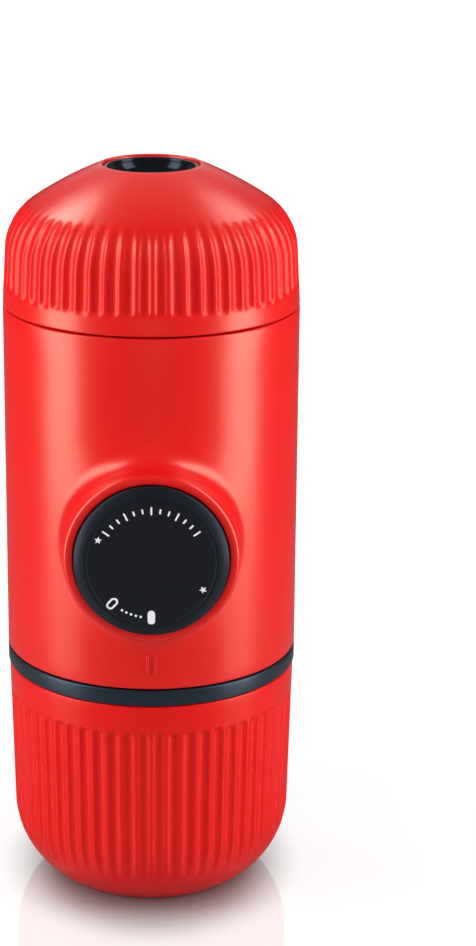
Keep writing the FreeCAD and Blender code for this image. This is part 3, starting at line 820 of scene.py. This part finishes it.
def add_ridges(bm, root, crest, z):
    """Screw ridges: one outline swept up a helix, tapered at both ends, repeated round the axis."""
    steps = 40
    half = RIDGE_WIDTH / 2
    flat = half * 0.45
    verts = draw_ring(bm, ((root, z - half), (crest, z - flat), (crest, z + flat), (root, z + half)))
    rise = THREAD_LEAD * RIDGE_TURN / tau
    last = sweep_round(bm, verts + bm.edges[:], RIDGE_TURN, steps, dvec=(0, 0, rise / steps))
    for end in (verts, last):
        for v in end:
            v.co = pulled(root, v.co.z)(v)
        bmesh.ops.contextual_create(bm, geom=end)
    repeat_round(bm, everything(bm), THREAD_STARTS)
    bmesh.ops.dissolve_degenerate(bm, dist=1e-7, edges=bm.edges)
    face_out(bm)
    if bm.calc_volume(signed=True) < 0:
        bmesh.ops.reverse_faces(bm, faces=bm.faces)


class ESPRESSO_OT_threads(bpy.types.Operator):
    """Screw ridges of the tank, its socket, the brew chamber and the head's skirt"""

    bl_idname = "espresso.threads"
    bl_label = "Screw ridges"

    def execute(self, context):
        neck = (NECK_R, NECK_TOP - 6.6 * MM)
        chamber = (CHAMBER_R, CHAMBER_TOP - 12.6 * MM)
        # Name, body, wall and height, root and crest beside the wall in mm, turn in degrees.
        ridges = (
            ("tank_thread", "tank", neck, -0.3, 0.26, 0.0),
            ("socket_thread", "main_body", neck, 0.6, 0.06, 45.0),
            ("chamber_thread", "main_body", chamber, -0.3, 0.34, 0.0),
            ("skirt_thread", "head", chamber, 0.7, 0.06, 45.0),
        )
        for name, body, (wall, z), root, crest, turn in ridges:
            bm = bmesh.new()
            add_ridges(bm, wall + root * MM, wall + crest * MM, z)
            place = Matrix.Rotation(radians(turn), 4, "Z")
            finish_piece(bm, name, body, "Inner black", place, 50)
        return {"FINISHED"}


# ---- perforated steel ----
HOLE_PITCH = 2.3 * MM
HOLE_R = 0.55 * MM
PLAIN_RIM = 1.6 * MM
ROW_SHARE = 0.866


def longest_chain(edges):
    """The longest chain among the edges."""
    left = dict.fromkeys(edges)
    best = []
    while left:
        chain = [left.popitem()[0]]
        queue = list(chain[0].verts)
        while queue:
            for e in queue.pop().link_edges:
                if e in left:
                    del left[e]
                    chain.append(e)
                    queue.extend(e.verts)
        best = max(best, chain, key=len)
    return best


def add_perforated(bm, radius, low, high):
    """Disc with rows of round holes, a plain rim, and its thickness."""
    pitch = HOLE_PITCH
    reach = radius - PLAIN_RIM
    rows = int(reach / (pitch * ROW_SHARE)) + 1
    for row in range(-rows, rows + 1):
        y = row * pitch * ROW_SHARE
        for column in range(-rows - 2, rows + 3):
            x = column * pitch + (pitch / 2 if row % 2 else 0.0)
            if hypot(x, y) > reach - pitch / 2:
                continue
            place = Matrix.Translation((x, y, 0)) @ Matrix.Rotation(radians(30), 4, "Z")
            bmesh.ops.create_circle(bm, cap_ends=True, radius=pitch / sqrt(3), segments=6, matrix=place)
    bmesh.ops.remove_doubles(bm, verts=bm.verts, dist=pitch * 0.02)
    face_out(bm)
    holes = bm.faces[:]
    bmesh.ops.subdivide_edges(bm, edges=bm.edges[:], cuts=1)
    bmesh.ops.inset_individual(bm, faces=holes, thickness=pitch / 2 - HOLE_R, depth=0.0, use_even_offset=True)
    for face in holes:
        middle = face.calc_center_median()
        for v in face.verts:
            v.co = middle + (v.co - middle).normalized() * HOLE_R
    bmesh.ops.delete(bm, geom=holes, context="FACES_ONLY")
    outside = longest_chain(e for e in bm.edges if len(e.link_faces) == 1)
    rim = edges_at(bmesh.ops.create_circle(bm, cap_ends=False, radius=reach, segments=96)["verts"])
    bmesh.ops.triangle_fill(bm, edges=outside + rim, use_beauty=True)
    grow(bm, rim, pulled(radius, 0))
    bm.normal_update()
    face_out(bm)
    if sum(f.normal.z for f in bm.faces) < 0:
        bmesh.ops.reverse_faces(bm, faces=bm.faces)
    bmesh.ops.translate(bm, verts=bm.verts, vec=(0, 0, high))
    bmesh.ops.solidify(bm, geom=bm.faces[:], thickness=high - low)


class ESPRESSO_OT_screens(bpy.types.Operator):
    """Perforated steel discs above and below the coffee"""

    bl_idname = "espresso.screens"
    bl_label = "Steel screens"

    def execute(self, context):
        rows = (("outlet_mesh", "head_screen", "outlet_screen"), ("shower_mesh", "main_body", "shower_screen"))
        for name, body, node in rows:
            bm = bmesh.new()
            add_perforated(bm, *upright(node))
            piece = finish_piece(bm, name, body, STEEL)
            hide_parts(node)
        return {"FINISHED"}


class ESPRESSO_OT_spring(bpy.types.Operator):
    """Round-wire return spring of the pump"""

    bl_idname = "espresso.spring"
    bl_label = "Return spring"

    def execute(self, context):
        outside, low, high = crosswise("return_spring")
        wire_r, turns = 0.55 * MM, 7
        steps = turns * 40
        bm = bmesh.new()
        place = Matrix.Translation((outside - wire_r, 0, low + wire_r)) @ Matrix.Rotation(pi / 2, 4, "X")
        wire = bmesh.ops.create_circle(bm, cap_ends=False, radius=wire_r, segments=10, matrix=place)["verts"]
        rise = (0, 0, (high - low - 2 * wire_r) / steps)
        last = sweep_round(bm, wire + bm.edges[:], tau * turns, steps, dvec=rise)
        for end in (wire, last):
            bmesh.ops.contextual_create(bm, geom=end)
        face_out(bm)
        piece = finish_piece(bm, "coil", "main_body", STEEL, PUMP, 60)
        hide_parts("return_spring")
        return {"FINISHED"}


# ---- finishes ----
SOCKET_KINDS = {"Vector": "NodeSocketVector", "Normal": "NodeSocketVector", "Colour": "NodeSocketColor"}
WHITE = (1.0, 1.0, 1.0, 1.0)
WARM = (1.0, 0.85, 0.62, 1.0)
COOL = (0.6, 0.75, 1.0, 1.0)
SLATE_TINT = (0.55, 0.75, 1.0, 1.0)
STEEL = "Stainless steel"
HEAD_RED = "Head red"

# A plastic's colour, these values of its surface, its specular level and the level's tint.
SURFACE_VALUES = ("Roughness", "Grain size", "Grain depth", "Colour change", "Roughness change")
PLASTICS = {
    "Red plastic": ("red", 0.30, 2600.0, 0.10, 0.05, 0.05, 0.85, WARM),
    HEAD_RED: ("red", 0.30, 2600.0, 0.10, 0.05, 0.05, 0.85, WARM),
    "Cup red": ("red", 0.32, 2600.0, 0.12, 0.05, 0.05, 0.45, WARM),
    "Knob black": ("black", 0.30, 3200.0, 0.08, 0.06, 0.06, 0.25, COOL),
    "Knob front black": ("black", 0.46, 5200.0, 0.35, 0.06, 0.06, 0.15, WHITE),
    "Spout black": ("black", 0.17, 2400.0, 0.02, 0.06, 0.06, 0.30, COOL),
    "Slate plastic": ("slate", 0.34, 3000.0, 0.15, 0.06, 0.06, 0.70, SLATE_TINT),
    "Inner black": ("inner_black", 0.42, 2200.0, 0.30, 0.12, 0.12, 0.50, WHITE),
    "Tank black": ("inner_black", 0.28, 2200.0, 0.10, 0.10, 0.10, 0.50, WHITE),
    "Black silicone": ("seal", 0.62, 1800.0, 0.40, 0.15, 0.15, 0.30, WHITE),
    "Milky silicone": ("clear_seal", 0.45, 1800.0, 0.15, 0.05, 0.10, 0.50, WHITE),
    "White print": ("print_white", 0.55, 6000.0, 0.25, 0.04, 0.05, 0.50, WHITE),
}

# Nodes of the frame by finish; the rest are mouldings in the inner black.
NODE_FINISHES = {
    "Red plastic": ("head_shell", "body_shell"),
    "Cup red": ("cup",),
    "Slate plastic": ("collar_ring",),
    "Knob black": ("knob",),
    "Knob front black": ("knob_face",),
    "Spout black": ("spout_bowl", "spout_spider"),
    "Tank black": ("water_tank",),
    STEEL: (
        "frame_screws", "shower_screen", "filter_basket", "return_spring", "knob_screw", "spring_washer",
        "outlet_screen",
    ),
    "Black silicone": ("port_seals", "inlet_seat", "outlet_seat", "piston_seal", "head_gasket", "tank_gasket"),
    "Milky silicone": ("air_valve", "inlet_valve", "outlet_valve"),
}


def feed(tree, node, inputs):
    """Gives each named input of a node a value or another node's output."""
    for key, value in inputs.items():
        if isinstance(value, bpy.types.NodeSocket):
            tree.links.new(value, node.inputs[key])
        else:
            node.inputs[key].default_value = value


def add_node(tree, kind, inputs, **settings):
    """Adds a shader node with its settings and inputs, and returns its outputs."""
    node = tree.nodes.new("ShaderNode" + kind)
    for name, value in settings.items():
        setattr(node, name, value)
    feed(tree, node, inputs)
    return node.outputs


def combine(tree, operation, *values):
    """The result of a Math node on values that are each a socket or a number."""
    return add_node(tree, "Math", dict(enumerate(values)), operation=operation)[0]


def smooth_ramp(tree, source, start, end, low, high):
    """A soft step of a value from low to high."""
    limits = {"From Min": start, "From Max": end, "To Min": low, "To Max": high}
    return add_node(tree, "MapRange", {"Value": source, **limits}, interpolation_type="SMOOTHSTEP")["Result"]


def new_group(name, inputs, outputs):
    """An empty node group, what it is given, and its output node."""
    group = bpy.data.node_groups.new(name, "ShaderNodeTree")
    for way, labels in (("INPUT", ("Vector", *inputs)), ("OUTPUT", outputs)):
        for label in labels:
            kind = SOCKET_KINDS.get(label, "NodeSocketFloat")
            socket = group.interface.new_socket(name=label, in_out=way, socket_type=kind)
            if way == "INPUT" and label in inputs:
                socket.default_value = inputs[label]
    return group, group.nodes.new("NodeGroupInput").outputs, group.nodes.new("NodeGroupOutput")


def moulded_surface():
    """Fine moulded grain, slow unevenness and faint handling marks of plastic."""
    if "Moulded surface" in bpy.data.node_groups:
        return bpy.data.node_groups["Moulded surface"]
    group, given, sink = new_group(
        "Moulded surface",
        {"Colour": (0.5, 0.5, 0.5, 1), **dict(zip(SURFACE_VALUES, (0.4, 4000.0, 0.05, 0.05, 0.05)))},
        ("Colour", "Roughness", "Normal"),
    )
    place = given["Vector"]
    grain = add_node(group, "TexNoise", {"Vector": place, "Scale": given["Grain size"], "Detail": 3.0})["Fac"]
    slow = add_node(group, "TexNoise", {"Vector": place, "Scale": 60.0, "Detail": 4.0})["Fac"]
    change = combine(group, "SUBTRACT", slow, 0.5)
    value = combine(group, "MULTIPLY_ADD", change, given["Colour change"], 1.0)
    shade = add_node(group, "HueSaturation", {"Color": given["Colour"], "Value": value})
    rough = combine(group, "MULTIPLY_ADD", change, given["Roughness change"], given["Roughness"])
    height = {"Distance": 0.06 * MM, "Strength": given["Grain depth"], "Height": grain}
    normal = add_node(group, "Bump", height)["Normal"]
    feed(group, sink, {"Colour": shade["Color"], "Roughness": rough, "Normal": normal})
    return group


def brushed_surface():
    """Fine turned lines round the long axis, as on spun and rolled steel."""
    if "Brushed surface" in bpy.data.node_groups:
        return bpy.data.node_groups["Brushed surface"]
    inputs = {"Roughness": 0.25, "Line depth": 0.1}
    group, given, sink = new_group("Brushed surface", inputs, ("Roughness", "Normal"))
    parts = add_node(group, "SeparateXYZ", {0: given["Vector"]})
    flat = add_node(group, "CombineXYZ", {"X": parts["X"], "Y": parts["Y"]})[0]
    distance = add_node(group, "VectorMath", {0: flat}, operation="LENGTH")["Value"]
    line = add_node(group, "CombineXYZ", {"X": distance, "Y": parts["Z"]})[0]
    noise = add_node(group, "TexNoise", {"Vector": line, "Scale": 5000.0, "Detail": 2.0})["Fac"]
    rough = combine(group, "MULTIPLY_ADD", noise, 0.12, given["Roughness"])
    height = {"Distance": 0.04 * MM, "Strength": given["Line depth"], "Height": noise}
    feed(group, sink, {"Roughness": rough, "Normal": add_node(group, "Bump", height)["Normal"]})
    return group


def new_material(name):
    """A material with its node tree, its Principled shader and its Object coordinates."""
    material = bpy.data.materials.new(name)
    material.use_nodes = True
    tree = material.node_tree
    return material, tree, tree.nodes["Principled BSDF"], add_node(tree, "TexCoord", {})["Object"]


def head_gloss(tree, place):
    """Specular level of the head: its flutes are duller than the dome above them and the rim below."""
    dull, bright = 0.36, 0.85
    z = add_node(tree, "SeparateXYZ", {0: place})["Z"]
    dome = smooth_ramp(tree, z, HEAD_LOW + 14.0 * MM, HEAD_LOW + 20.0 * MM, dull, bright)
    rim = smooth_ramp(tree, z, HEAD_LOW + 3.0 * MM, HEAD_LOW + 4.5 * MM, bright, dull)
    return combine(tree, "MAXIMUM", dome, rim)


def make_plastic(name, colours):
    """A moulded plastic or rubber."""
    colour, *values, gloss, tint = PLASTICS[name]
    material, tree, shader, place = new_material(name)
    inputs = {"Vector": place, "Colour": (*getattr(colours, colour), 1), **dict(zip(SURFACE_VALUES, values))}
    surface = add_node(tree, "Group", inputs, node_tree=moulded_surface())
    if name == HEAD_RED:
        gloss = head_gloss(tree, place)
    feed(tree, shader, {socket: surface[socket] for socket in ("Roughness", "Normal")})
    feed(tree, shader, {"Base Color": surface["Colour"], "Specular IOR Level": gloss, "Specular Tint": tint})
    return material


def make_steel(colours):
    """Turned stainless steel."""
    material, tree, shader, place = new_material(STEEL)
    inputs = {"Vector": place, "Roughness": 0.22, "Line depth": 0.35}
    surface = add_node(tree, "Group", inputs, node_tree=brushed_surface())
    feed(tree, shader, {socket: surface[socket] for socket in ("Roughness", "Normal")})
    feed(tree, shader, {"Base Color": (*colours.steel, 1), "Metallic": 1.0})
    return material


def finish_of(name):
    """The finish of this name, made when it is first asked for."""
    if name in bpy.data.materials:
        return bpy.data.materials[name]
    colours = bpy.context.scene.maker_finishes
    return make_steel(colours) if name == STEEL else make_plastic(name, colours)


class ESPRESSO_OT_finishes(bpy.types.Operator):
    """Gives each node of the frame the finish of its material"""

    bl_idname = "espresso.finishes"
    bl_label = "Finishes of the frame"

    def execute(self, context):
        finishes = {node: name for name, nodes in NODE_FINISHES.items() for node in nodes}
        for name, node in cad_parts.items():
            for slot in node.material_slots:
                slot.material = finish_of(finishes.get(name, "Inner black"))
        return {"FINISHED"}


# ---- stage ----
CAMERA_PLACE = (0, -0.51587, 0.254)
CAMERA_TILT = radians(72.35)
CAMERA_LENS = 96.63
CAMERA_SHIFT = 0.0916


def add_lamp(name, power, width, height, place, target):
    """A soft rectangular lamp that faces a place."""
    lamp = bpy.data.lights.new(name, "AREA")
    lamp.shape = "RECTANGLE"
    lamp.size = width
    lamp.size_y = height
    lamp.energy = power
    item = bpy.data.objects.new(name, lamp)
    item.location = place
    item.visible_camera = False
    item.rotation_euler = (Vector(target) - item.location).to_track_quat("-Z", "Y").to_euler()
    bpy.context.scene.collection.objects.link(item)
    return item


class ESPRESSO_OT_stage(bpy.types.Operator):
    """Pale floor, soft studio light, surroundings and camera"""

    bl_idname = "espresso.stage"
    bl_label = "Stage"

    def execute(self, context):
        scene = context.scene
        sizes = scene.maker_stage
        scene.view_settings.view_transform = "Standard"
        self.make_world(scene, sizes)
        self.make_floor(sizes)
        waist, chest = (0, 0, 0.10), (0, 0, 0.14)
        for name, side in (("side_left", -1), ("side_right", 1)):
            add_lamp(name, sizes.side_light, 0.12, 0.32, (side * 0.215, -0.08, 0.16), waist)
        add_lamp("back_left", sizes.back_light, 0.12, 0.14, (-0.22, 0.19, 0.45), chest)
        add_lamp("back_right", 0.57 * sizes.back_light, 0.14, 0.14, (0.22, 0.19, 0.45), chest)
        fill = add_lamp("front_fill", sizes.front_fill, 0.30, 0.08, (0, -0.70, 0.05), (0, 0, 0.06))
        fill.visible_glossy = False
        camera = bpy.data.cameras.new("camera")
        camera.lens = CAMERA_LENS
        camera.sensor_width = 36.0
        camera.shift_x = CAMERA_SHIFT
        item = bpy.data.objects.new("camera", camera)
        item.location = CAMERA_PLACE
        item.rotation_euler = (CAMERA_TILT, 0, 0)
        scene.collection.objects.link(item)
        scene.camera = item
        return {"FINISHED"}

    def make_world(self, scene, sizes):
        """White where it is seen, soft from the front where it lights, and dim with a white screen behind
        where it is mirrored."""
        world = bpy.data.worlds.new("studio")
        scene.world = world
        world.use_nodes = True
        tree = world.node_tree
        path = add_node(tree, "LightPath", {})
        way = add_node(tree, "SeparateXYZ", {0: add_node(tree, "TexCoord", {})["Generated"]})
        front = smooth_ramp(tree, way["Y"], -0.9, 0.6, sizes.world, 0.3 * sizes.world)
        behind = smooth_ramp(tree, way["Y"], 0.0, 0.9, 0.0, 1.0)
        above = smooth_ramp(tree, way["Z"], 0.08, 0.25, 0.0, 1.0)
        middle = smooth_ramp(tree, combine(tree, "ABSOLUTE", way["X"]), 0.12, 0.38, 1.0, 0.05)
        screen = combine(tree, "MULTIPLY", combine(tree, "MULTIPLY", behind, above), middle)
        lit, mirrored, seen = (
            add_node(tree, "Background", {"Color": WHITE, "Strength": strength})[0]
            for strength in (front, combine(tree, "ADD", screen, 0.02), 1.0)
        )
        glossy = add_node(tree, "MixShader", {"Fac": path["Is Glossy Ray"], 1: lit, 2: mirrored})[0]
        through = combine(tree, "MAXIMUM", path["Is Camera Ray"], path["Is Transmission Ray"])
        whole = add_node(tree, "MixShader", {"Fac": through, 1: glossy, 2: seen})[0]
        feed(tree, tree.nodes["World Output"], {"Surface": whole})

    def make_floor(self, sizes):
        """Glossy pale floor that the camera sees as white, with a painted shadow round the cup's foot and the
        mirror image near the cup.
        """
        bm = bmesh.new()
        bmesh.ops.create_grid(bm, x_segments=2, y_segments=2, size=3.0)
        bmesh.ops.translate(bm, verts=bm.verts, vec=(0, 0, -0.05 * MM))
        mesh = bpy.data.meshes.new("floor")
        bm.to_mesh(mesh)
        bm.free()
        floor = bpy.data.objects.new("floor", mesh)
        bpy.context.scene.collection.objects.link(floor)
        material, tree, shader, place = new_material("Pale floor")
        # Painted shadow: the camera-only glow is held off within about 25 mm of the cup's axis and reaches full
        # strength only past 43 mm, so the floor round the foot is painted darker than its lighting makes it.
        # The 1.25 stretch across makes this painted shadow reach less far to the sides than to the front and
        # back.
        stretched = add_node(tree, "VectorMath", {0: place, 1: (1.25, 1.0, 1.0)}, operation="MULTIPLY")[0]
        away = add_node(tree, "VectorMath", {0: stretched}, operation="LENGTH")["Value"]
        painted_shadow_ramp = smooth_ramp(tree, away, 0.0245, 0.043, 0.0, 0.62)
        far = smooth_ramp(tree, away, 0.06, 0.25, 0.0, 0.38)
        seen = add_node(tree, "LightPath", {})["Is Camera Ray"]
        glow = combine(tree, "MULTIPLY", seen, combine(tree, "ADD", painted_shadow_ramp, far))
        gloss = {"Roughness": 0.06, "Specular IOR Level": 1.0}
        emission = {"Emission Color": WHITE, "Emission Strength": glow}
        feed(tree, shader, {"Base Color": (*sizes.floor, 1), **gloss, **emission})
        mesh.materials.append(material)


class ESPRESSO_PT_maker(bpy.types.Panel):
    """Sizes, finishes and steps of the espresso maker"""

    bl_idname = "ESPRESSO_PT_maker"
    bl_label = "Espresso Maker"
    bl_space_type = "VIEW_3D"
    bl_region_type = "UI"
    bl_category = "Espresso Maker"

    def draw(self, context):
        for operator in OPERATORS:
            self.layout.operator(operator.bl_idname)
        for name in SETTINGS:
            box = self.layout.box()
            settings = getattr(context.scene, name)
            for prop in settings.__annotations__:
                box.prop(settings, prop)


OPERATORS = (
    ESPRESSO_OT_stage,
    ESPRESSO_OT_finishes,
    ESPRESSO_OT_body_shell,
    ESPRESSO_OT_head_shell,
    ESPRESSO_OT_cup,
    ESPRESSO_OT_collar,
    ESPRESSO_OT_knob,
    ESPRESSO_OT_markings,
    ESPRESSO_OT_spout,
    ESPRESSO_OT_threads,
    ESPRESSO_OT_screens,
    ESPRESSO_OT_spring,
)


def register():
    for cls in (*SETTINGS.values(), *OPERATORS, ESPRESSO_PT_maker):
        bpy.utils.register_class(cls)
    for name, cls in SETTINGS.items():
        setattr(bpy.types.Scene, name, PointerProperty(type=cls))


def unregister():
    for name in SETTINGS:
        delattr(bpy.types.Scene, name)
    for cls in reversed((*SETTINGS.values(), *OPERATORS, ESPRESSO_PT_maker)):
        bpy.utils.unregister_class(cls)


def main():
    register()
    for operator in OPERATORS:
        group, step = operator.bl_idname.split(".")
        getattr(getattr(bpy.ops, group), step)()


if __name__ == "__main__":
    main()
